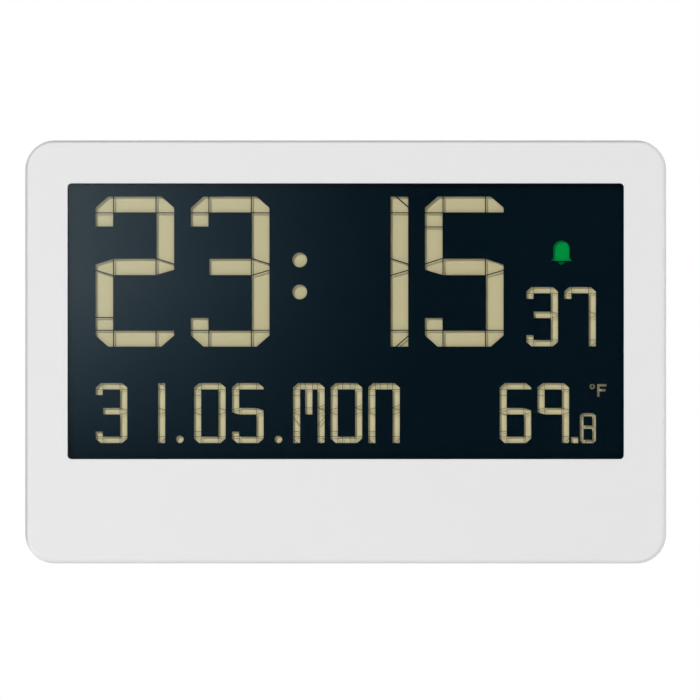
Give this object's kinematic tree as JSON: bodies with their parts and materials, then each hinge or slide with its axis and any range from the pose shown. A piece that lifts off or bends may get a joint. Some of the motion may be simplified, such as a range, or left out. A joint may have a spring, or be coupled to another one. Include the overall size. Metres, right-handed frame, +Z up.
{
  "type": "digital wall clock",
  "caption": "Flat rectangular wall and table clock with rounded corners, a wide segment display, a keyhole, a fold-out stand, rear buttons and a battery door.",
  "frame": {"origin": "centre of the round hole of the wall keyhole, on the back plane that meets the wall", "axes": "+X to the right seen from the front, +Y back into the wall, +Z up; the display faces -Y"},
  "size_m": [0.26, 0.028, 0.1716],
  "materials": {
    "white_case": "fine satin moulding",
    "lens_clear": "polished clear acrylic",
    "display_dark": "glossy dark polariser",
    "display_pale": "matt reflector",
    "icon_green": "printed film",
    "black_rubber": "matt",
    "holder_white": "plain moulding",
    "board_green": "solder mask",
    "black_parts": "plain moulding",
    "component_tan": "ceramic",
    "steel": "zinc plated",
    "brass": "bare",
    "ceramic_white": "silvered ceramic",
    "button_grey": "satin moulding",
    "cell_wrap": "printed sleeve on steel",
    "lead_red": "insulation",
    "lead_black": "insulation"
  },
  "bodies": {
    "case": {"front_housing": "white_case", "rear_cover": "white_case", "case_screws": "steel", "display_lens": "lens_clear", "lens_tape": "black_rubber", "dust_gasket": "black_rubber", "lcd_front_glass": "display_dark", "lcd_seal": "black_parts", "lcd_rear_glass": "display_pale", "alarm_icon_filter": "icon_green", "lcd_holder": "holder_white", "holder_screws": "steel", "zebra_strips": "black_rubber", "main_pcb": "board_green", "pcb_screws": "steel", "controller_chip": "black_parts", "quartz_crystal": "steel", "filter_capacitor": "black_parts", "chip_capacitors": "component_tan", "temperature_sensor": "component_tan", "button_switches": "black_parts", "slide_switch": "steel", "buzzer_disc": "brass", "buzzer_ceramic": "ceramic_white", "buzzer_leads": "lead_black", "battery_upper": "cell_wrap", "battery_lower": "cell_wrap", "positive_contact": "steel", "negative_contact": "steel", "link_contact": "steel", "positive_lead": "lead_red", "negative_lead": "lead_black", "stand_pin": "steel"},
    "stand": {"stand": "white_case"},
    "battery_door": {"battery_door": "white_case"},
    "alarm_slider": {"alarm_slider": "button_grey", "slide_actuator": "black_parts"},
    "reset_plunger": {"reset_plunger": "black_parts"},
    "set_button": {"set_button": "button_grey", "set_plunger": "black_parts"},
    "alarm_button": {"alarm_button": "button_grey", "alarm_plunger": "black_parts"},
    "plus_button": {"plus_button": "button_grey", "plus_plunger": "black_parts"},
    "minus_button": {"minus_button": "button_grey", "minus_plunger": "black_parts"},
    "units_button": {"units_button": "button_grey", "units_plunger": "black_parts"}
  },
  "joints": [
    {"name": "stand_fold", "type": "hinge", "parent": "case", "child": "stand", "pos_m": [0, -0.0031, -0.0478], "axis": [1, 0, 0], "range_deg": [0, 40]},
    {"name": "battery_door_swing", "type": "hinge", "parent": "case", "child": "battery_door", "pos_m": [0.11075, -0.0022, -0.11765], "axis": [0, 0, -1], "range_deg": [0, 90]},
    {"name": "alarm_slide", "type": "slide", "parent": "case", "child": "alarm_slider", "axis": [1, 0, 0], "range_m": [0, 0.003]},
    {"name": "reset_plunger_press", "type": "slide", "parent": "case", "child": "reset_plunger", "axis": [0, -1, 0], "range_m": [0, 0.0005], "stiffness_N_per_m": 2500, "springref_m": -0.0004},
    {"name": "set_button_press", "type": "slide", "parent": "case", "child": "set_button", "axis": [0, -1, 0], "range_m": [0, 0.0005], "stiffness_N_per_m": 2500, "springref_m": -0.0004},
    {"name": "alarm_button_press", "type": "slide", "parent": "case", "child": "alarm_button", "axis": [0, -1, 0], "range_m": [0, 0.0005], "stiffness_N_per_m": 2500, "springref_m": -0.0004},
    {"name": "plus_button_press", "type": "slide", "parent": "case", "child": "plus_button", "axis": [0, -1, 0], "range_m": [0, 0.0005], "stiffness_N_per_m": 2500, "springref_m": -0.0004},
    {"name": "minus_button_press", "type": "slide", "parent": "case", "child": "minus_button", "axis": [0, -1, 0], "range_m": [0, 0.0005], "stiffness_N_per_m": 2500, "springref_m": -0.0004},
    {"name": "units_button_press", "type": "slide", "parent": "case", "child": "units_button", "axis": [0, -1, 0], "range_m": [0, 0.0005], "stiffness_N_per_m": 2500, "springref_m": -0.0004}
  ]
}
